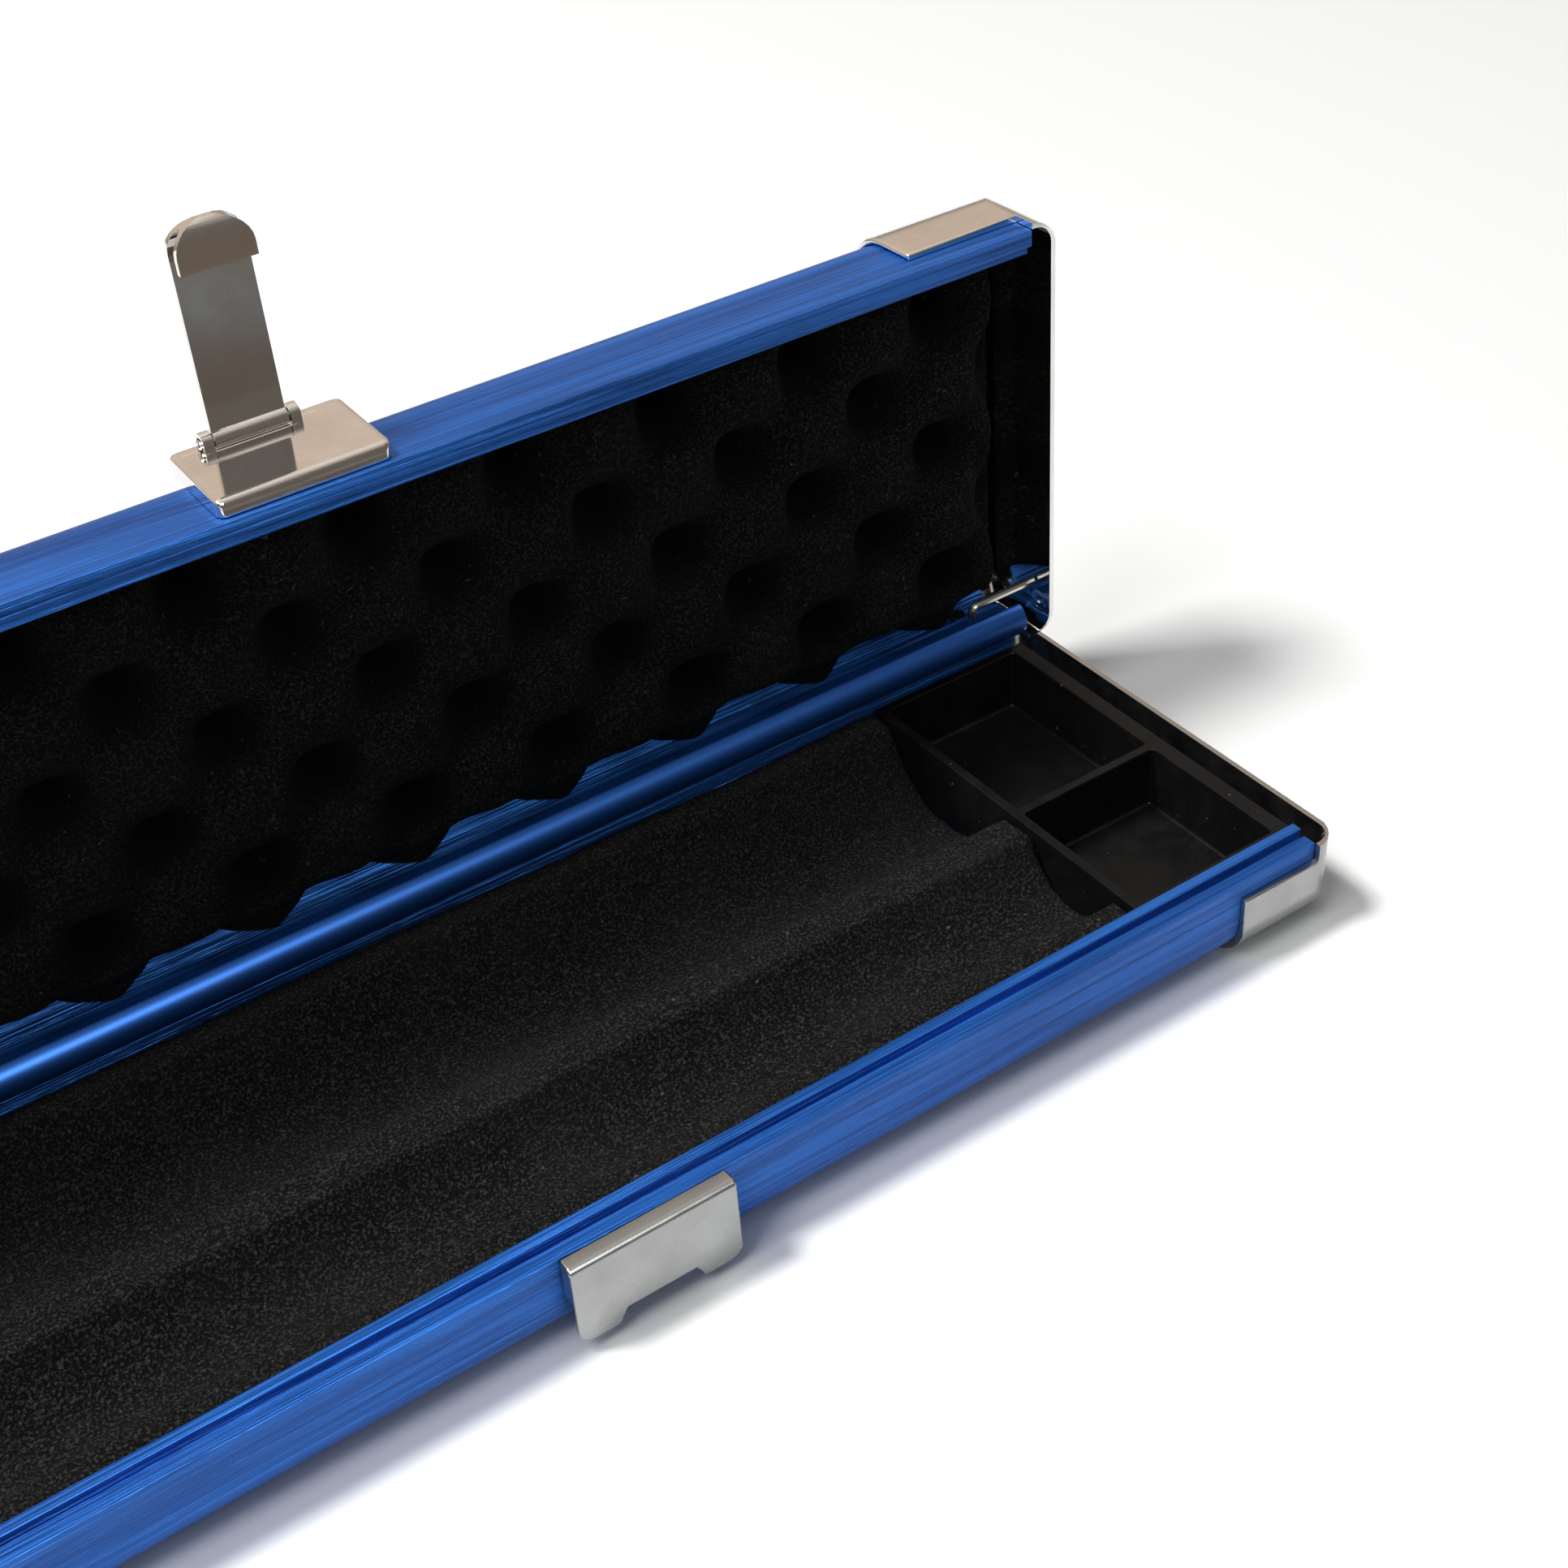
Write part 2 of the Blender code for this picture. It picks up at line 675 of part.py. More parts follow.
def make_keeper(word, side):
    """A cast keeper on the body's front wall, with a free lower lip and a notch for the hook."""
    centre = keeper_centre(side)
    back = -HALF_WIDTH - GAP
    front = -HALF_WIDTH - KEEPER_PROUD
    half = KEEPER_WIDTH / 2
    top = (front + KEEPER_TOP_ROUND, BODY_HEIGHT - KEEPER_TOP_ROUND)
    outline = (
        [(back, BODY_HEIGHT)]
        + arc(top, KEEPER_TOP_ROUND, 90, 180, 4)
        + [(front, KEEPER_BOTTOM - 1.0), (front + KEEPER_LIP, KEEPER_BOTTOM - 1.0),
           (front + KEEPER_LIP, KEEPER_REBATE), (back, KEEPER_REBATE)]
    )
    keeper = along_x(f"keeper_{word}", [outline], centre - half - 1.0, centre + half + 1.0, body)
    face = flat_curve(f"keeper_{word}_face", [keeper_face()], 12.0)
    face.rotation_euler = (pi / 2, 0.0, 0.0)
    face = as_mesh(place(face, body, (centre, -HALF_WIDTH, 0.0)), cutters)
    boolean(keeper, face, "INTERSECT")
    for index, (x, y, z) in enumerate(keeper_rivet_places()):
        if abs(x - centre) < half:
            hole = cutter_rod(f"keeper_{word}_hole_{index}", (x, y, z), RIVET_HOLE,
                              2 * (2.4 + GAP), "y", body, 12)
            boolean(keeper, hole)
    finish(keeper, "chrome")


def ear_outline(radius):
    """Side view of a latch ear: round about the pin, square at the foot."""
    return arc((0.0, 0.0), radius, 360, 180, 8) + [
        (-radius, LEVER_PIVOT_OUT - 3.2), (radius, LEVER_PIVOT_OUT - 3.2)
    ]


def make_latch_base(word, side):
    """The latch's base on the lid: a wedge plate with two ears that carry the pin."""
    centre = side * LATCH_X
    plate_middle = side * (LATCH_X + PLATE_SHIFT)
    wall = -HALF_WIDTH - GAP
    buried = wall + 2 * PLATE_ROUND
    near = BODY_HEIGHT + LATCH_FROM
    far = BODY_HEIGHT + LATCH_TO
    outline = [
        (buried, near), (buried, far), (-HALF_WIDTH - LATCH_PROUD_FAR, far),
        (-HALF_WIDTH - LATCH_PROUD_NEAR, near),
    ]
    half = LATCH_WIDTH / 2
    base = along_x(f"latch_base_{word}", [outline], plate_middle - half, plate_middle + half, lid)
    soften(base, PLATE_ROUND, 4)
    behind = cutter_box(f"latch_back_{word}", (plate_middle - half - 1.0, wall, near - 1.0),
                        (plate_middle + half + 1.0, buried + 1.0, far + 1.0), lid)
    boolean(base, behind)
    pivot = (-HALF_WIDTH - LEVER_PIVOT_OUT, BODY_HEIGHT + LEVER_PIVOT_UP)
    inner = LEVER_WIDTH / 2 + GAP
    for end in (-1, 1):
        low, high = sorted((centre + end * inner, centre + end * (inner + EAR_THICK)))
        ear_points = [(y, z) for z, y in ear_outline(EAR_RADIUS)]
        ear = along_x(f"latch_ear_{word}_{end + 1}", [ear_points], low, high, lid, pivot, cutters)
        boolean(base, ear, "UNION")
    recess = cutter_box(f"latch_recess_{word}",
                        (centre - inner, pivot[0] - 8.0, pivot[1] - LEVER_BARREL - GAP),
                        (centre + inner, pivot[0] + LEVER_BARREL + GAP, far + 2.0), lid)
    boolean(base, recess)
    pin_hole = cutter_rod(f"latch_pin_hole_{word}", (centre, *pivot), PIN_RADIUS + GAP,
                          LEVER_WIDTH + 12.0, "x", lid)
    boolean(base, pin_hole)
    for index, (x, y, z) in enumerate(latch_rivet_places()):
        if abs(x - plate_middle) < half:
            hole = cutter_rod(f"latch_{word}_hole_{index}", (x, y, z), RIVET_HOLE,
                              2 * (2.4 + GAP), "y", lid, 12)
            boolean(base, hole)
    finish(base, "chrome")
    make_latch_pin(word, (centre, *pivot))
    make_lever(word, (centre, *pivot))


def rod_along_x(name, centre, radius, length, frame, sides=16):
    """A plain round rod along X."""
    mesh = bpy.data.meshes.new(name)
    shape = bmesh.new()
    bmesh.ops.create_cone(shape, cap_ends=True, segments=sides, radius1=mm(radius),
                          radius2=mm(radius), depth=mm(length))
    shape.to_mesh(mesh)
    shape.free()
    rod = bpy.data.objects.new(name, mesh)
    rod.rotation_euler = (0.0, pi / 2, 0.0)
    parts.objects.link(rod)
    return place(rod, frame, centre)


def make_latch_pin(word, pivot):
    length = LEVER_WIDTH + 2 * (GAP + EAR_THICK) + 1.0
    pin = rod_along_x(f"latch_pin_{word}", pivot, PIN_RADIUS, length, lid)
    soften(pin, 0.25, 1)
    finish(pin, "steel")


def lever_outline():
    """Side view of a lever standing up, in (y, z) about its pivot.

    It runs outward (-y) as a strip, curls over towards the mouth (-z) in a tall crown and
    ends in a lip.
    """
    half = LEVER_THICK / 2
    join = sqrt(LEVER_BARREL**2 - half**2)
    lean = degrees(atan2(half, join))
    barrel = [(-across, up) for across, up in arc((0.0, 0.0), LEVER_BARREL, lean, 360 - lean, 16)]
    foot = LEVER_REACH - LEVER_CROWN

    def crown(rise, reach, steps):
        return [
            (-foot - rise * sin(radians(step)), -LEVER_CURL + reach * cos(radians(step)))
            for step in steps
        ]

    tip = foot - LEVER_LIP
    lip = [(-tip, -2 * LEVER_CURL - half), (-tip, -2 * LEVER_CURL + half)]
    outside = crown(LEVER_CROWN, LEVER_CURL + half, range(0, 181, 15))
    inside = crown(LEVER_CROWN - LEVER_THICK, LEVER_CURL - half, range(180, -1, -20))
    return outside + lip + inside + list(reversed(barrel))


def lever_face():
    """Front view of a lever, in (x, y) about its pivot: straight sides out to an arched end."""
    half = LEVER_WIDTH / 2
    spring = LEVER_REACH - LEVER_ARCH
    end = [
        (half * cos(radians(step)), -spring - LEVER_ARCH * sin(radians(step)))
        for step in range(0, 181, 12)
    ]
    return end + [(-half, 6.0), (half, 6.0)]


def make_lever(word, pivot):
    """The latch lever: a chromed strip with a barrel on the pin and a hooked end."""
    frame = Frame(f"latch_pivot_{word}", pivot, lid)
    half = LEVER_WIDTH / 2 + 1.0
    lever = along_x(f"latch_lever_{word}", [lever_outline()], pivot[0] - half, pivot[0] + half,
                    frame, pivot[1:])
    face = flat_curve(f"lever_{word}_face", [lever_face()], 24.0)
    boolean(lever, as_mesh(place(face, frame, pivot), cutters), "INTERSECT")
    bore = cutter_rod(f"lever_bore_{word}", pivot, PIN_RADIUS + GAP, LEVER_WIDTH + 4.0, "x", frame)
    boolean(lever, bore)
    finish(lever, "chrome")


def make_hinge_clip(word, side):
    """The bent wire by the hinge at each end of the lid, which stops it sliding along."""
    wire = bpy.data.curves.new(f"hinge_clip_{word}", "CURVE")
    wire.dimensions = "3D"
    wire.bevel_depth = mm(CLIP_WIRE)
    wire.bevel_resolution = 3
    wire.resolution_u = 1
    wire.use_fill_caps = True
    bend = arc((CLIP_BEND, CLIP_BEND), CLIP_BEND, 270, 180, 4)
    run = [(CLIP_LENGTH, 0.0)] + bend + [(0.0, CLIP_BEND + 1.2)]
    spline = wire.splines.new("POLY")
    spline.points.add(len(run) - 1)
    for point, (along, across) in zip(spline.points, run):
        point.co = (mm(side * along), mm(across), 0.0, 1.0)
    clip = bpy.data.objects.new(f"hinge_clip_{word}", wire)
    parts.objects.link(clip)
    inner_end = HALF_LENGTH - CAP_WALL - GAP - CLIP_LENGTH
    place(clip, lid, (side * inner_end, CLIP_Y, CLIP_Z))
    finish(clip, "steel", smooth=False)


def make_bracket(word, side):
    """A handle bracket on the front wall, round about the handle's pivot."""
    centre = bracket_centre(side)
    back = -HALF_WIDTH - GAP
    outline = (
        [(back, HANDLE_PIVOT_Z + 7.6), (back - 2.6, HANDLE_PIVOT_Z + 7.6)]
        + arc((-HALF_WIDTH - HANDLE_PIVOT_OUT, HANDLE_PIVOT_Z), BRACKET_NOSE, 90, 270, 8)
        + [(back, HANDLE_PIVOT_Z - BRACKET_NOSE)]
    )
    bracket = along_x(f"handle_bracket_{word}", [outline],
                      centre - BRACKET_WIDTH / 2, centre + BRACKET_WIDTH / 2, body)
    bore = cutter_rod(f"bracket_bore_{word}",
                      (centre, -HALF_WIDTH - HANDLE_PIVOT_OUT, HANDLE_PIVOT_Z),
                      HANDLE_ROD + GAP, 30.0, "x", body)
    boolean(bracket, bore)
    x, y, z = bracket_rivet_places()[0 if side < 0 else 1]
    hole = cutter_rod(f"bracket_hole_{word}", (x, y, z), RIVET_HOLE, 2 * (2.4 + GAP), "y", body, 12)
    boolean(bracket, hole)
    finish(bracket, "chrome")


def make_handle():
    """The carry handle: a steel bail between the brackets and a rubber grip on it."""
    pivot = (0.0, -HALF_WIDTH - HANDLE_PIVOT_OUT, HANDLE_PIVOT_Z)
    frame = Frame("handle_pivot", pivot, body, HANDLE_DROOP)
    bail = bpy.data.curves.new("handle_bail", "CURVE")
    bail.dimensions = "3D"
    bail.bevel_depth = mm(HANDLE_ROD)
    bail.bevel_resolution = 3
    bail.use_fill_caps = True
    bail.resolution_u = 1
    half = HANDLE_SPAN / 2
    right = (
        [(0.0, -HANDLE_REACH)]
        + arc((half - HANDLE_CORNER, HANDLE_CORNER - HANDLE_REACH), HANDLE_CORNER, 270, 360, 6)
        + arc((half + HANDLE_BEND, -HANDLE_BEND), HANDLE_BEND, 180, 90, 5)
        + [(bracket_centre(1) + BRACKET_WIDTH / 2 + 0.5, 0.0)]
    )
    route = [(-x, y) for x, y in reversed(right[1:])] + right
    spline = bail.splines.new("POLY")
    spline.points.add(len(route) - 1)
    for point, (x, y) in zip(spline.points, route):
        point.co = (mm(x), mm(y), 0.0, 1.0)
    handle = bpy.data.objects.new("handle_bail", bail)
    place(handle, frame, pivot)
    parts.objects.link(handle)
    finish(handle, "chrome", smooth=False)
    make_grip(frame, pivot)


def make_grip(frame, pivot):
    """The grip: a turned sleeve, fuller in the middle, clear of the rod it sits on."""
    profile = []
    steps = 12
    for step in range(steps + 1):
        share = step / steps
        swell = sin(pi * share) ** 0.5 if 0 < share < 1 else 0.0
        profile.append((GRIP_RADIUS - 1.4 + 1.4 * swell, GRIP_LENGTH * (0.5 - share)))
    bore = HANDLE_ROD + GAP
    low = -GRIP_LENGTH / 2
    grip = turned("handle_grip", [(bore, -low)] + profile + [(bore, low)], 20, closed=True)
    place(grip, frame, (pivot[0], pivot[1] - HANDLE_REACH, pivot[2]))
    grip.rotation_euler = (0.0, pi / 2, 0.0)
    finish(grip, "black_rubber", smooth=False)


clear_scene()
parts = new_collection(COLLECTION)
cutters = new_collection("cutters")
body = Frame("body_frame", (0.0, 0.0, 0.0))
lid = Frame("lid_pivot", (0.0, HINGE_Y, HINGE_Z), turn=-OPEN_ANGLE)
make_shells()
make_caps()
make_rivets()
make_tray()
make_body_foam()
make_lid_foam()
for side_word, side_sign in SIDES:
    make_keeper(side_word, side_sign)
    make_latch_base(side_word, side_sign)
    make_hinge_clip(side_word, side_sign)
    make_bracket(side_word, side_sign)
make_handle()
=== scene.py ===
"""The cue case's looks: anodised aluminium, chrome, flocked foam and moulded plastic around the CAD frame.

Lengths are in metres, in the frame's own axes: X along the case, Y from the latches to the hinge, Z up.
"""

import json
from math import cos, pi, radians, sin

import bmesh
import bpy
import numpy as np
from mathutils import Matrix, Vector

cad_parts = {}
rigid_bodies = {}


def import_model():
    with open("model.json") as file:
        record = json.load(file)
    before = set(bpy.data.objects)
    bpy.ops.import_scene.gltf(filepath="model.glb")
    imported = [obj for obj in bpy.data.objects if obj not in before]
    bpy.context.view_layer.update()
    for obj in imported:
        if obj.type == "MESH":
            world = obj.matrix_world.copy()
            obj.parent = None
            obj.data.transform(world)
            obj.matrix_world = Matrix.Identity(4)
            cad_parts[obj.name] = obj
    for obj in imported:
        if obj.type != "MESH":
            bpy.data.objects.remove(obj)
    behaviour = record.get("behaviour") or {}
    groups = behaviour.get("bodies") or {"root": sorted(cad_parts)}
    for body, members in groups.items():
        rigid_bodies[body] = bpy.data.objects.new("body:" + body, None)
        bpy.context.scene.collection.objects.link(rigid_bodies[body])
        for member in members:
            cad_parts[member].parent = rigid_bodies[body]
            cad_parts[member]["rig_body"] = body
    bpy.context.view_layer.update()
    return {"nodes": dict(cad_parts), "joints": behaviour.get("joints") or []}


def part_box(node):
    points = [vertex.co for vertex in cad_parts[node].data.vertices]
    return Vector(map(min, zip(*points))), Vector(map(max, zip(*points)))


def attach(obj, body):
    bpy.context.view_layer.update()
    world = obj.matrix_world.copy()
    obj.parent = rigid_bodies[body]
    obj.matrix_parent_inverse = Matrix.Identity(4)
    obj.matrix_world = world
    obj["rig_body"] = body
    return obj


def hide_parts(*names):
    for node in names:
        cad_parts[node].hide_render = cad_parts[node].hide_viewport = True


# The camera: in front of the case and above it, to the left of the tray end, which it looks at.
CAMERA_AT = (0.1299, -0.2936, 0.3228)
CAMERA_AIM = (0.3389, 0.0363, 0.0200)
CAMERA_ROLL = -3.95
CAMERA_LENS = 51.74

# Rounding of the hard pieces' edges, and the angles in degrees from which an edge counts as sharp.
SHELL_EDGE = 0.00028
CAP_EDGE = 0.00070
KEEPER_EDGE = 0.00060
LEVER_EDGE = 0.00055
TRAY_EDGE = 0.00035
SMALL_EDGE = 0.00025
SHARP_ANGLE = 35.0
RIM_ANGLE = 50.0
LID_CAP_SIDES = ("x-", "x+", "y-", "y+", "z+")

# Cleaning of a CAD mesh: the distance to weld, the angle in degrees below which faces count as one flat, and
# how near to a side of the piece counts as on it.
WELD = 2e-6
FLAT_ANGLE = 0.6
SIDE_REACH = 2e-5

# Distances from the hinge axis over which the draw lines fade in, just outside the socket's bead.
BEAD_FADE = (0.0052, 0.0068)

# Rounding of both foams' outer edges, which lie in the shells' corners.
LINING_ROUND = 0.0071

# The cue bed: (centre, half width, depth) of each channel, the mesh's grid, and the rounding of its edges.
BUTT_CHANNEL = (0.0190, 0.0210, 0.0150)
SHAFT_CHANNEL = (-0.0235, 0.0135, 0.0105)
CHANNEL_POWER = 2.4
BED_STEP = 0.0010
BED_ROWS = 112
BED_END_ROUND = 0.0016
BED_SIDE_ROUND = 0.0012
BED_THINNEST = 0.0004

# Unevenness of the cue bed and of its cut end: (height, size of a lump, seed).
BED_LUMPS = ((0.00045, 0.022, 3), (0.00016, 0.0036, 4), (0.00014, 0.0013, 5))
END_LUMPS = (0.00020, 0.0017, 6)
END_REACH = 0.004

# The lid's egg-crate foam, with the lid closed: the pits' pitches, place, depth and shape, the mesh's grid,
# the pad's faces and edges, the least it is thick, and how far its face stays in front of its back.
CRATE_PITCH = 0.0340
CRATE_ROWS = 0.0330
CRATE_PIT_X = 0.3290
CRATE_PIT_Y = 0.0
CRATE_DEPTH = 0.0138
CRATE_SHARPNESS = 2.2
CRATE_STEP = 0.0011
CRATE_PEAK = 0.0280
CRATE_BACK = 0.0426
CRATE_FRONT = -0.0469
CRATE_REAR = 0.0478
CRATE_REAR_ROUND = 0.0030
CRATE_FRONT_ROUND = 0.0015
CRATE_THINNEST = 0.0003
CRATE_FACE_GAP = 0.0005
CRATE_LUMPS = ((0.00050, 0.017, 7), (0.00022, 0.0038, 8), (0.00014, 0.0014, 9))

# The thin flap at each end of the egg crate, dark foam filling the shaded gap to the end cap as painted
# shade: its length, slope and thickness.
CRATE_SHADE_FLAP = 0.0085
FLAP_SLOPE = 0.003
FLAP_THICK = 0.0014

# The scallops: heights of the foam's face at a tip and in a pit, and where along Y it thins to them.
SCALLOP_LOW = 0.0330
SCALLOP_HIGH = 0.0424
SCALLOP_POWER = 0.55
SCALLOP_FROM = 0.0370
SCALLOP_OVER = 0.0085

# Room for the body's hinge socket: how far in front of the axis it starts, its slope, and its depth.
HINGE_ROOM_FRONT = 0.0062
HINGE_ROOM_SLOPE = 0.0015
HINGE_ROOM_DEPTH = 0.0062

# The closed lid's rear corner: centre of its arc across and up, and the arc's radius at mid wall.
SHELL_CORNER = (0.0410, 0.0360, 0.0082)

# Colours.
DARK_BLUE = (0.005, 0.064, 0.29)
BRIGHT_BLUE = (0.019, 0.145, 0.55)
CHROME = (0.80, 0.78, 0.76)
DULL_CHROME = (0.37, 0.37, 0.368)
STEEL = (0.66, 0.65, 0.63)
BLACK_PLASTIC = (0.0055, 0.0055, 0.0056)
PLASTIC_FILM = (0.0110, 0.0108, 0.0105)
DUST = (0.12, 0.12, 0.115)
BLACK_RUBBER = (0.012, 0.012, 0.012)
WHITE = (0.92, 0.925, 0.93)

# The flock's pile at its roots, at its tips, where it is worn, darkened down in a pit as painted shade, its
# lint, and how bright the pile of each foam is.
PILE_ROOTS = (0.0042, 0.0042, 0.0044)
PILE_TIPS = (0.050, 0.050, 0.047)
PILE_WORN = (0.020, 0.020, 0.019)
PILE_PAINTED_PIT_SHADE = (0.0030, 0.0030, 0.0031)
LINT = (0.11, 0.108, 0.10)
BED_SHADE = 1.3
# The egg crate's pile is darker than the bed's: painted shade for the lining inside the lid, which the lid's
# walls shadow.
CRATE_SHADE = 0.82

# The studio seen in the chrome: (height of the direction, colour), from straight down to straight up.
# Behind the case it is warm and pale; in front, where the camera stands, it is dark with a grey band. Matte
# pieces get an even light instead, and the camera sees a white backdrop.
ROOM_BEHIND = (
    (-1.000, (0.30, 0.27, 0.24)),
    (0.000, (0.34, 0.29, 0.25)),
    (0.250, (0.60, 0.485, 0.395)),
    (0.550, (0.76, 0.615, 0.500)),
    (0.800, (0.84, 0.730, 0.640)),
    (1.000, (0.92, 0.90, 0.88)),
)
ROOM_IN_FRONT = (
    (-1.000, (0.100, 0.080, 0.062)),
    (-0.391, (0.120, 0.094, 0.073)),
    (-0.387, (0.178, 0.185, 0.190)),
    (-0.366, (0.185, 0.192, 0.196)),
    (-0.362, (0.165, 0.127, 0.098)),
    (0.100, (0.150, 0.125, 0.105)),
    (0.600, (0.160, 0.145, 0.130)),
    (0.900, (0.60, 0.52, 0.45)),
    (1.000, (0.92, 0.90, 0.88)),
)
ROOM_BLEND = 0.25
ROOM_FOR_MATTE = (0.20, 0.202, 0.205)
BACKDROP = (1.0, 1.0, 1.0)

# The white table top: the place of its front edge, how far it runs elsewhere, and its gap under the case.
TABLE_FRONT = -0.195
TABLE_REACH = 6.0
TABLE_GAP = 0.0001

# The lights: name, direction from the tray end, distance, width, height, power, colour, and if only mirrored.
LIGHT_TARGET = (0.25, 0.0, 0.03)
LIGHTS = (
    ("key", (-0.42, 0.20, 0.88), 3.0, 0.6, 0.6, 84.0, (1.0, 0.99, 0.97), False),
    ("side", (-0.52, -0.16, 0.83), 3.0, 1.1, 1.1, 27.0, (1.0, 0.99, 0.98), False),
    ("window", (-0.12, -0.71, 0.69), 1.6, 0.9, 0.56, 32.0, (0.87, 1.0, 0.96), True),
)


class Shader:
    """A material with a Principled shader, and short calls that add and join its nodes."""

    def __init__(self, name, colour, roughness, metallic=0.0):
        self.material = bpy.data.materials.new(name)
        self.material.use_nodes = True
        self.tree = self.material.node_tree
        self.principled = self.tree.nodes["Principled BSDF"]
        self.set("Base Color", (*colour, 1.0))
        self.set("Roughness", roughness)
        self.set("Metallic", metallic)
        self.coordinates = self.tree.nodes.new("ShaderNodeTexCoord").outputs["Object"]

    def set(self, socket, value):
        self.principled.inputs[socket].default_value = value

    def join(self, output, socket):
        self.tree.links.new(output, self.principled.inputs[socket])

    def stretched(self, scale):
        """Object coordinates, scaled along each axis."""
        mapping = self.tree.nodes.new("ShaderNodeMapping")
        mapping.inputs["Scale"].default_value = scale
        self.tree.links.new(self.coordinates, mapping.inputs["Vector"])
        return mapping.outputs["Vector"]

    def noise(self, scale, detail=3.0, stretch=(1.0, 1.0, 1.0), distortion=0.0, roughness=0.5):
        texture = self.tree.nodes.new("ShaderNodeTexNoise")
        texture.inputs["Scale"].default_value = scale
        texture.inputs["Detail"].default_value = detail
        texture.inputs["Roughness"].default_value = roughness
        texture.inputs["Distortion"].default_value = distortion
        self.tree.links.new(self.stretched(stretch), texture.inputs["Vector"])
        return texture.outputs["Fac"]

    def ramp(self, value, low, high, start=0.0, end=1.0):
        return ramped(self.tree, value, low, high, start, end)

    def mix(self, factor, first, second):
        return mixed(self.tree, factor, first, second)

    def add(self, first, second, weight=1.0):
        """first + weight * second."""
        node = self.tree.nodes.new("ShaderNodeMath")
        node.operation = "MULTIPLY_ADD"
        self.tree.links.new(second, node.inputs[0])
        node.inputs[1].default_value = weight
        self.tree.links.new(first, node.inputs[2])
        return node.outputs[0]

    def product(self, first, second):
        node = self.tree.nodes.new("ShaderNodeMath")
        node.operation = "MULTIPLY"
        self.tree.links.new(first, node.inputs[0])
        self.tree.links.new(second, node.inputs[1])
        return node.outputs[0]

    def axis_distance(self, place):
        """Distance from the line along X through a place."""
        offset = self.tree.nodes.new("ShaderNodeVectorMath")
        offset.operation = "SUBTRACT"
        offset.inputs[1].default_value = place
        flat = self.tree.nodes.new("ShaderNodeVectorMath")
        flat.operation = "MULTIPLY"
        flat.inputs[1].default_value = (0.0, 1.0, 1.0)
        length = self.tree.nodes.new("ShaderNodeVectorMath")
        length.operation = "LENGTH"
        self.tree.links.new(self.coordinates, offset.inputs[0])
        self.tree.links.new(offset.outputs["Vector"], flat.inputs[0])
        self.tree.links.new(flat.outputs["Vector"], length.inputs[0])
        return length.outputs["Value"]

    def wave(self, value, centre, pitch):
        """A cosine wave of a value, highest at its centre."""
        phase = self.tree.nodes.new("ShaderNodeMath")
        phase.operation = "MULTIPLY_ADD"
        phase.inputs[1].default_value = 2 * pi / pitch
        phase.inputs[2].default_value = -2 * pi * centre / pitch
        cosine = self.tree.nodes.new("ShaderNodeMath")
        cosine.operation = "COSINE"
        self.tree.links.new(value, phase.inputs[0])
        self.tree.links.new(phase.outputs[0], cosine.inputs[0])
        return cosine.outputs[0]

    def bump(self, height, strength, distance):
        node = self.tree.nodes.new("ShaderNodeBump")
        node.inputs["Strength"].default_value = strength
        node.inputs["Distance"].default_value = distance
        self.tree.links.new(height, node.inputs["Height"])
        self.join(node.outputs["Normal"], "Normal")


def anodised_aluminium(name):
    """Blue anodised extrusion: wavy draw lines in its colour, gloss and surface, except on the hinge bead."""
    shader = Shader(name, DARK_BLUE, 0.36, 0.62)
    broad = shader.noise(30.0, 3.0, (0.35, 6.0, 6.0), distortion=0.6)
    fine = shader.noise(170.0, 4.0, (0.07, 4.0, 4.0), distortion=1.0, roughness=0.6)
    from_axis = shader.axis_distance(LID["pos_m"])
    off_bead = shader.ramp(from_axis, *BEAD_FADE)
    lines = shader.product(shader.add(broad, fine, 1.2), off_bead)
    tint = shader.ramp(lines, 0.88, 1.30)
    shader.join(shader.mix(tint, DARK_BLUE, BRIGHT_BLUE), "Base Color")
    shader.join(shader.ramp(lines, 0.6, 1.4, 0.38, 0.46), "Roughness")
    shader.bump(lines, 1.0, 0.00055)
    return shader.material


def plating(name, colour, roughness, cloud):
    """Bright plate: faint clouds in its colour and gloss, and a slight unevenness."""
    shader = Shader(name, colour, roughness, 1.0)
    clouds = shader.noise(90.0, 4.0, roughness=0.6)
    grain = shader.noise(900.0, 2.0)
    shader.join(shader.ramp(clouds, 0.35, 0.7, roughness, roughness + cloud), "Roughness")
    darker = tuple(value * 0.86 for value in colour)
    shader.join(shader.mix(shader.ramp(clouds, 0.4, 0.75), colour, darker), "Base Color")
    shader.bump(shader.add(clouds, grain, 0.12), 0.10, 0.00008)
    return shader.material


def tinted(colour, shade):
    """A colour, brighter or darker by a factor."""
    return tuple(value * shade for value in colour)


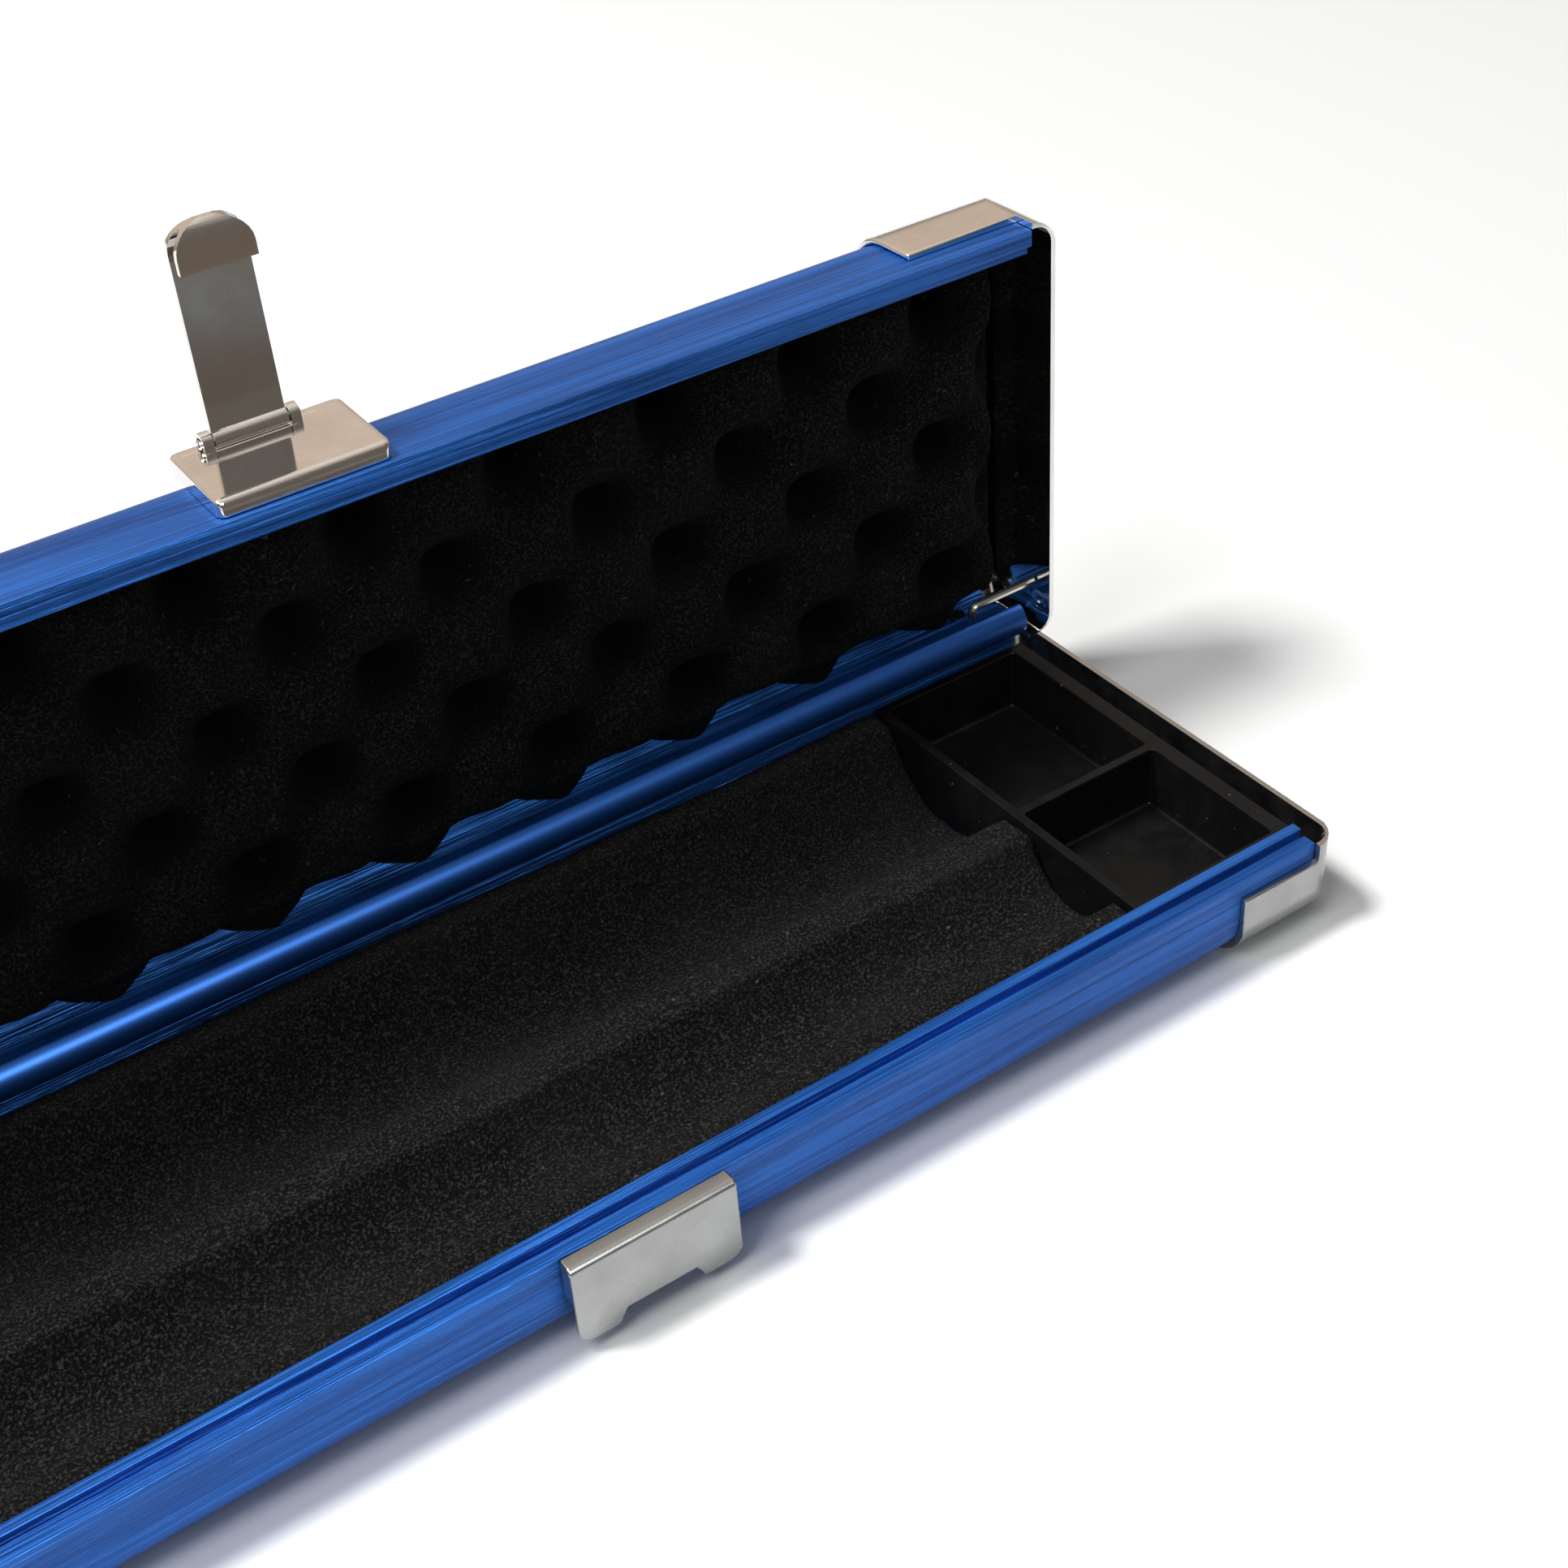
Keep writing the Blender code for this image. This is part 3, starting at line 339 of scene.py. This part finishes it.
def flock(name, shade, pits=None):
    """Flocked foam: matte black granular pile with worn patches, brighter tips, curled fibres and lint.

    Given a function that adds the depth in the foam's pits to the shader, the pile is darker down in them:
    painted shade in the pits.
    """
    shader = Shader(name, PILE_ROOTS, 0.95)
    patches = shader.noise(34.0, 4.0, roughness=0.6)
    pile = shader.noise(1600.0, 3.0, roughness=0.7)
    tips = shader.ramp(pile, 0.49, 0.68)
    fresh = shader.mix(tips, tinted(PILE_ROOTS, shade), tinted(PILE_TIPS, shade))
    wear = shader.ramp(patches, 0.45, 0.8, 0.0, 0.4)
    surface = shader.mix(wear, fresh, tinted(PILE_WORN, shade))
    curls = shader.noise(150.0, 1.0, distortion=2.5)
    line = shader.product(shader.ramp(curls, 0.494, 0.498), shader.ramp(curls, 0.506, 0.502))
    here = shader.ramp(shader.noise(210.0, 1.0, (1.0, 1.3, 0.7)), 0.66, 0.68)
    # Painted shade: the pile darkens with the depth in a pit.
    if pits:
        surface = shader.mix(pits(shader), surface, tinted(PILE_PAINTED_PIT_SHADE, shade))
    lint = shader.ramp(shader.noise(800.0, 1.0), 0.775, 0.80)
    marks = shader.add(lint, shader.product(line, here))
    shader.join(shader.mix(marks, surface, LINT), "Base Color")
    shader.set("Sheen Weight", 0.015)
    shader.set("Sheen Roughness", 0.45)
    shader.set("Specular IOR Level", 0.03)
    shader.bump(pile, 1.0, 0.0012)
    return shader.material


def crate_pit_shade_mask(shader):
    """How deep in one of the egg crate's pits a point lies, from 0 to 1: the mask of the painted shade in the
    pits.
    """
    closing = closed_lid()
    mapping = shader.tree.nodes.new("ShaderNodeMapping")
    mapping.inputs["Location"].default_value = closing.to_translation()
    mapping.inputs["Rotation"].default_value = closing.to_euler()
    split = shader.tree.nodes.new("ShaderNodeSeparateXYZ")
    shader.tree.links.new(shader.coordinates, mapping.inputs["Vector"])
    shader.tree.links.new(mapping.outputs["Vector"], split.inputs["Vector"])
    along = shader.wave(split.outputs["X"], CRATE_PIT_X, CRATE_PITCH)
    across = shader.wave(split.outputs["Y"], CRATE_PIT_Y, CRATE_ROWS)
    return shader.ramp(shader.product(along, across), 0.05, 0.75)


def moulded_plastic(name):
    """Satin black moulding with a fine grain, dust and light scuffs."""
    shader = Shader(name, BLACK_PLASTIC, 0.33)
    smears = shader.noise(55.0, 5.0, distortion=1.2, roughness=0.65)
    grain = shader.noise(1400.0, 2.0)
    dust = shader.ramp(shader.noise(520.0, 2.0), 0.735, 0.78)
    film = shader.mix(shader.ramp(smears, 0.45, 0.8), BLACK_PLASTIC, PLASTIC_FILM)
    shader.join(shader.mix(dust, film, DUST), "Base Color")
    shader.join(shader.ramp(smears, 0.35, 0.75, 0.30, 0.52), "Roughness")
    shader.set("Specular IOR Level", 0.10)
    shader.bump(shader.add(grain, smears, 0.5), 0.12, 0.00012)
    return shader.material


def rubber(name):
    """Moulded rubber: dull black with a fine stipple."""
    shader = Shader(name, BLACK_RUBBER, 0.62)
    stipple = shader.noise(900.0, 3.0)
    shader.join(shader.ramp(stipple, 0.3, 0.7, 0.52, 0.74), "Roughness")
    shader.bump(stipple, 0.35, 0.0003)
    return shader.material


def white_floor(name):
    """Plain matte white."""
    shader = Shader(name, WHITE, 0.75)
    shader.set("Specular IOR Level", 0.2)
    return shader.material


def add_piece(name, mesh, material, body, nodes):
    """Put a mesh in the scene as a piece that rides on a body and stands for CAD nodes."""
    piece = bpy.data.objects.new(name, mesh)
    bpy.context.scene.collection.objects.link(piece)
    mesh.materials.clear()
    mesh.materials.append(material)
    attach(piece, body)
    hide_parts(*nodes)
    return piece


def refined(node, material, edge, segments=2, broad=0.0, sides=()):
    """A finer copy of a CAD node: welded, its flats whole, and its edges rounded.

    A broad width first rounds the sharp edges on some sides of the node, such as "x-" or "z+".
    """
    source = frame["nodes"][node]
    mesh = source.data.copy()
    shape = bmesh.new()
    shape.from_mesh(mesh)
    bmesh.ops.remove_doubles(shape, verts=shape.verts, dist=WELD)
    bmesh.ops.dissolve_limit(shape, angle_limit=radians(FLAT_ANGLE), verts=shape.verts, edges=shape.edges)
    if broad:
        on_lid = source["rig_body"] == "lid"
        rim = edges_on_sides(shape, sides, closed_lid() if on_lid else Matrix.Identity(4))
        bmesh.ops.bevel(shape, geom=rim, offset=broad, segments=4, profile=0.5, affect="EDGES",
                        clamp_overlap=False)
    shape.to_mesh(mesh)
    shape.free()
    mesh.shade_smooth()
    piece = add_piece(f"{node}_finished", mesh, material, source["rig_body"], [node])
    bevel = piece.modifiers.new("rounded_edges", "BEVEL")
    bevel.width = edge
    bevel.segments = segments
    bevel.limit_method = "ANGLE"
    bevel.angle_limit = radians(SHARP_ANGLE)
    bevel.use_clamp_overlap = True
    bevel.miter_outer = "MITER_ARC"
    weighted = piece.modifiers.new("flat_faces_stay_flat", "WEIGHTED_NORMAL")
    weighted.keep_sharp = False
    weighted.weight = 100


def closed_lid():
    """The turn about the hinge that closes the lid."""
    hinge = Vector(LID["pos_m"])
    turn = Matrix.Rotation(radians(LID["range_deg"][1]), 4, "X")
    return Matrix.Translation(hinge) @ turn @ Matrix.Translation(-hinge)


def edges_on_sides(shape, sides, closing):
    """A shape's sharp edges that lie on some sides of its box once the lid is closed."""
    places = {vertex: closing @ vertex.co for vertex in shape.verts}
    reached = {vertex: set() for vertex in shape.verts}
    for side in sides:
        axis = "xyz".index(side[0])
        pick = max if side[1] == "+" else min
        limit = pick(place[axis] for place in places.values())
        for vertex, place in places.items():
            if abs(place[axis] - limit) < SIDE_REACH:
                reached[vertex].add(side)
    return [
        edge for edge in shape.edges
        if edge.is_manifold and edge.calc_face_angle() > radians(RIM_ANGLE)
        and reached[edge.verts[0]] & reached[edge.verts[1]]
    ]


def smooth_noise(x, y, scale, seed):
    """Value noise between -1 and 1 at points x, y, with lumps of the given size."""
    random = np.random.RandomState(seed)
    grid = random.uniform(-1.0, 1.0, (257, 257))
    u = (x / scale) % 256.0
    v = (y / scale) % 256.0
    column = np.floor(u).astype(int)
    row = np.floor(v).astype(int)
    fu = u - column
    fv = v - row
    fu = fu * fu * (3 - 2 * fu)
    fv = fv * fv * (3 - 2 * fv)
    low = grid[row, column] * (1 - fu) + grid[row, column + 1] * fu
    high = grid[row + 1, column] * (1 - fu) + grid[row + 1, column + 1] * fu
    return low * (1 - fv) + high * fv


def slab(name, top, bottom):
    """A closed mesh between two point grids of one shape, (rows, columns, 3), top outside."""
    rows, columns = top.shape[:2]
    count = rows * columns
    points = np.concatenate([top.reshape(-1, 3), bottom.reshape(-1, 3)])
    index = np.arange(count).reshape(rows, columns)
    a, b = index[:-1, :-1].ravel(), index[:-1, 1:].ravel()
    c, d = index[1:, 1:].ravel(), index[1:, :-1].ravel()
    upper = np.stack([a, b, c, d], 1)
    lower = np.stack([d, c, b, a], 1) + count
    rim = np.concatenate([index[0, :], index[1:, -1], index[-1, -2::-1], index[-2:0:-1, 0]])
    after = np.roll(rim, -1)
    wall = np.stack([after, rim, rim + count, after + count], 1)
    faces = np.concatenate([upper, lower, wall])
    mesh = bpy.data.meshes.new(name)
    mesh.vertices.add(len(points))
    mesh.vertices.foreach_set("co", points.astype(np.float32).ravel())
    mesh.loops.add(faces.size)
    mesh.loops.foreach_set("vertex_index", faces.astype(np.int32).ravel())
    mesh.polygons.add(len(faces))
    mesh.polygons.foreach_set("loop_start", np.arange(0, faces.size, 4, dtype=np.int32))
    mesh.update(calc_edges=True)
    mesh.validate()
    shape = bmesh.new()
    shape.from_mesh(mesh)
    bmesh.ops.recalc_face_normals(shape, faces=shape.faces)
    shape.to_mesh(mesh)
    shape.free()
    mesh.shade_smooth()
    return mesh


def channel_drop(y, channel):
    """How far a channel's floor lies below the bed's top."""
    centre, half, depth = channel
    reach = np.abs(y - centre) / half
    return np.where(reach < 1, depth * (1 - np.minimum(reach, 1) ** CHANNEL_POWER), 0.0)


def edge_round(distance, radius):
    """Drop of a rounded edge at a distance from it."""
    inside = np.clip(1 - distance / radius, 0, 1)
    return radius * (1 - np.sqrt(1 - inside**2))


def lumpy(z, x, y, lumps):
    """Heights with layers of noise added: (height, size of a lump, seed) each."""
    for height, size, seed in lumps:
        z = z + height * smooth_noise(x, y, size, seed)
    return z


def cue_bed(material):
    """The body's foam: channels for the butt and the shaft, with soft, uneven flocked surfaces."""
    low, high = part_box("body_foam")
    columns = np.arange(low.x, high.x + BED_STEP / 2, BED_STEP)
    columns[-1] = high.x
    across = np.linspace(high.y, low.y, BED_ROWS)
    y, x = np.meshgrid(across, columns, indexing="ij")
    drop = channel_drop(y, BUTT_CHANNEL) + channel_drop(y, SHAFT_CHANNEL)
    z = high.z - drop
    z = z - edge_round(high.x - x, BED_END_ROUND) - edge_round(high.y - y, BED_SIDE_ROUND)
    z = z - edge_round(y - low.y, BED_SIDE_ROUND)
    z = lumpy(z, x, y, BED_LUMPS)
    height, size, seed = END_LUMPS
    x = x + height * smooth_noise(y, x, size, seed) * (x > high.x - END_REACH)
    top = np.stack([x, y, z], 2)
    floor = low.z + edge_round(np.minimum(high.y - y, y - low.y), LINING_ROUND)
    bottom = np.stack([x, y, np.minimum(floor, z - BED_THINNEST)], 2)
    mesh = slab("cue_bed", top, bottom)
    piece = add_piece("cue_bed", mesh, material, "case", ["body_foam"])


def egg_crate(material):
    """The lid's foam: staggered pits cut into a thick pad, its rear edge running out in scallops."""
    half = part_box("lid_foam")[1].x + CRATE_SHADE_FLAP
    columns = np.arange(-half, half + CRATE_STEP / 2, CRATE_STEP)
    columns[-1] = half
    across = np.arange(CRATE_FRONT, CRATE_REAR, CRATE_STEP)
    y, x = np.meshgrid(across, columns, indexing="ij")
    z = crate_face(x, y, half)
    floor = CRATE_BACK - edge_round(np.minimum(CRATE_REAR - y, y - CRATE_FRONT), LINING_ROUND)
    base = np.maximum(floor, z + CRATE_THINNEST)
    swing = radians(LID["range_deg"][1])
    axis = Vector(LID["pos_m"])
    top = turned_open(np.stack([x, y, z], 2), axis, swing)
    bottom = turned_open(np.stack([x, y, base], 2), axis, swing)
    mesh = slab("egg_crate_foam", top, bottom)
    piece = add_piece("egg_crate_foam", mesh, material, "lid", ["lid_foam"])


def crate_face(x, y, half):
    """Height of the egg crate's face, with the lid closed, at points x, y of a pad of some half length."""
    along = np.cos(2 * pi * (x - CRATE_PIT_X) / CRATE_PITCH)
    wave = along * np.cos(2 * pi * (y - CRATE_PIT_Y) / CRATE_ROWS)
    z = CRATE_PEAK + CRATE_DEPTH * ((1 + wave) / 2) ** CRATE_SHARPNESS
    z = lumpy(z, x, y, CRATE_LUMPS)
    # The end flaps: thin dark foam that fills the shaded gaps at the lid's ends, as painted shade.
    end = np.clip((np.abs(x) - half + CRATE_SHADE_FLAP) / FLAP_SLOPE, 0, 1)
    z = z + (CRATE_BACK - FLAP_THICK - z) * end * end * (3 - 2 * end)
    z = z + edge_round(CRATE_REAR - y, CRATE_REAR_ROUND) + edge_round(y - CRATE_FRONT, CRATE_FRONT_ROUND)
    scallop = SCALLOP_LOW + (SCALLOP_HIGH - SCALLOP_LOW) * ((1 + wave) / 2) ** SCALLOP_POWER
    z = z + (scallop - z) * np.clip((y - SCALLOP_FROM) / SCALLOP_OVER, 0, 1) ** 2
    room_from = Vector(LID["pos_m"]).y - HINGE_ROOM_FRONT
    hinge_room = np.clip((y - room_from) / HINGE_ROOM_SLOPE, 0, 1)
    z = np.maximum(z, CRATE_PEAK + hinge_room * HINGE_ROOM_DEPTH)
    return np.minimum(z, np.minimum(CRATE_BACK - CRATE_FACE_GAP, inside_lid_wall(y)))


def inside_lid_wall(y):
    """Height of the middle of the closed lid's wall, around its rear corner."""
    centre_y, centre_z, middle = SHELL_CORNER
    across = np.clip(y - centre_y, 0.0, middle)
    return centre_z + np.sqrt(middle**2 - across**2)


def turned_open(points, axis, swing):
    """Points of the closed lid, swung open about the hinge axis."""
    y = points[..., 1] - axis.y
    z = points[..., 2] - axis.z
    turned = points.copy()
    turned[..., 1] = axis.y + y * cos(swing) + z * sin(swing)
    turned[..., 2] = axis.z - y * sin(swing) + z * cos(swing)
    return turned


def camera():
    """A full-frame camera, rolled slightly."""
    data = bpy.data.cameras.new("camera")
    data.lens = CAMERA_LENS
    data.sensor_width = 36.0
    data.clip_start = 0.01
    thing = bpy.data.objects.new("camera", data)
    bpy.context.scene.collection.objects.link(thing)
    look = Vector(CAMERA_AIM) - Vector(CAMERA_AT)
    turn = look.to_track_quat("-Z", "Y").to_matrix().to_4x4()
    roll = Matrix.Rotation(radians(CAMERA_ROLL), 4, "Z")
    thing.matrix_world = Matrix.Translation(CAMERA_AT) @ turn @ roll
    bpy.context.scene.camera = thing


def area_light(name, direction, distance, width, height, power, colour, only_mirrored):
    """A soft light at a distance from the case's tray end, facing it; it may show in reflections only."""
    data = bpy.data.lights.new(name, "AREA")
    data.shape = "RECTANGLE"
    data.size = width
    data.size_y = height
    data.energy = power
    data.color = colour
    lamp = bpy.data.objects.new(name, data)
    bpy.context.scene.collection.objects.link(lamp)
    away = Vector(direction).normalized()
    turn = away.to_track_quat("Z", "Y").to_matrix().to_4x4()
    lamp.matrix_world = Matrix.Translation(Vector(LIGHT_TARGET) + away * distance) @ turn
    lamp.visible_diffuse = not only_mirrored


def room():
    """A white backdrop, an even light for matte pieces, and a studio for the chrome to mirror."""
    world = bpy.data.worlds.new("room")
    bpy.context.scene.world = world
    world.use_nodes = True
    tree = world.node_tree
    coordinates = tree.nodes.new("ShaderNodeTexCoord")
    split = tree.nodes.new("ShaderNodeSeparateXYZ")
    tree.links.new(coordinates.outputs["Generated"], split.inputs["Vector"])
    height = ramped(tree, split.outputs["Z"], -1.0, 1.0)
    behind = ramped(tree, split.outputs["Y"], -ROOM_BLEND, ROOM_BLEND)
    studio = mixed(tree, behind, banded(tree, height, ROOM_IN_FRONT), banded(tree, height, ROOM_BEHIND))
    path = tree.nodes.new("ShaderNodeLightPath")
    unseen = mixed(tree, path.outputs["Is Glossy Ray"], ROOM_FOR_MATTE, studio)
    seen = mixed(tree, path.outputs["Is Camera Ray"], unseen, BACKDROP)
    tree.links.new(seen, tree.nodes["Background"].inputs["Color"])


def ramped(tree, value, low, high, start=0.0, end=1.0):
    """Map a value from low..high to start..end, clamped."""
    node = tree.nodes.new("ShaderNodeMapRange")
    node.inputs["From Min"].default_value = low
    node.inputs["From Max"].default_value = high
    node.inputs["To Min"].default_value = start
    node.inputs["To Max"].default_value = end
    tree.links.new(value, node.inputs["Value"])
    return node.outputs["Result"]


def banded(tree, height, bands):
    """The colour of a set of bands at a height of 0..1."""
    node = tree.nodes.new("ShaderNodeValToRGB")
    stops = node.color_ramp.elements
    for index in range(len(bands) - 2):
        stops.new((index + 1) / len(bands))
    for index, (rise, colour) in reversed(list(enumerate(bands))):
        stop = stops[index]
        stop.position = (rise + 1) / 2
        stop.color = (*colour, 1.0)
    tree.links.new(height, node.inputs["Fac"])
    return node.outputs["Color"]


def mixed(tree, factor, first, second):
    """Mix two colours by a factor; each is a colour or an output."""
    node = tree.nodes.new("ShaderNodeMix")
    node.data_type = "RGBA"
    tree.links.new(factor, node.inputs[0])
    for socket, value in ((node.inputs[6], first), (node.inputs[7], second)):
        if isinstance(value, tuple):
            socket.default_value = (*value, 1.0)
        else:
            tree.links.new(value, socket)
    return node.outputs[2]


def table(height):
    """The white table top, which ends a little in front of the case."""
    corners = (
        (-TABLE_REACH, TABLE_FRONT, height),
        (TABLE_REACH, TABLE_FRONT, height),
        (TABLE_REACH, TABLE_REACH, height),
        (-TABLE_REACH, TABLE_REACH, height),
    )
    mesh = bpy.data.meshes.new("table")
    mesh.from_pydata(corners, [], [(0, 1, 2, 3)])
    mesh.materials.append(white_floor("table_white"))
    plane = bpy.data.objects.new("table", mesh)
    bpy.context.scene.collection.objects.link(plane)


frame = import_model()
LID = next(joint for joint in frame["joints"] if joint["name"] == "lid_hinge")

shell_finish = anodised_aluminium("blue_anodised")
bright = plating("chrome_bright", CHROME, 0.05, 0.05)
cloudy = plating("chrome_cloudy", DULL_CHROME, 0.22, 0.12)
bed_finish = flock("bed_flock", BED_SHADE)
crate_finish = flock("crate_flock", CRATE_SHADE, crate_pit_shade_mask)
plastic_finish = moulded_plastic("tray_plastic")

for shell_node in ("body_shell", "lid_shell"):
    refined(shell_node, shell_finish, SHELL_EDGE)
for word, outer in (("left", "x-"), ("right", "x+")):
    refined(f"body_cap_{word}", cloudy, SMALL_EDGE, broad=CAP_EDGE, sides=(outer, "y-", "y+", "z-"))
    refined(f"lid_cap_{word}", bright, SMALL_EDGE, broad=CAP_EDGE, sides=LID_CAP_SIDES)
    refined(f"keeper_{word}", cloudy, SMALL_EDGE, broad=KEEPER_EDGE, sides=("x-", "x+"))
    refined(f"latch_base_{word}", bright, SMALL_EDGE)
    refined(f"latch_lever_{word}", bright, LEVER_EDGE, segments=3)
    refined(f"handle_bracket_{word}", bright, SMALL_EDGE)
refined("accessory_tray", plastic_finish, TRAY_EDGE, segments=3)
cue_bed(bed_finish)
egg_crate(crate_finish)

steel_finish = plating("steel_bright", STEEL, 0.16, 0.08)
rubber_finish = rubber("grip_rubber")
for name, node in frame["nodes"].items():
    if node.hide_render:
        continue
    node.data.materials.clear()
    node.data.materials.append(rubber_finish if name == "handle_grip" else steel_finish)

camera()
table(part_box("body_cap_right")[0].z - TABLE_GAP)
room()
for light in LIGHTS:
    area_light(*light)
bpy.context.scene.view_settings.view_transform = "Standard"
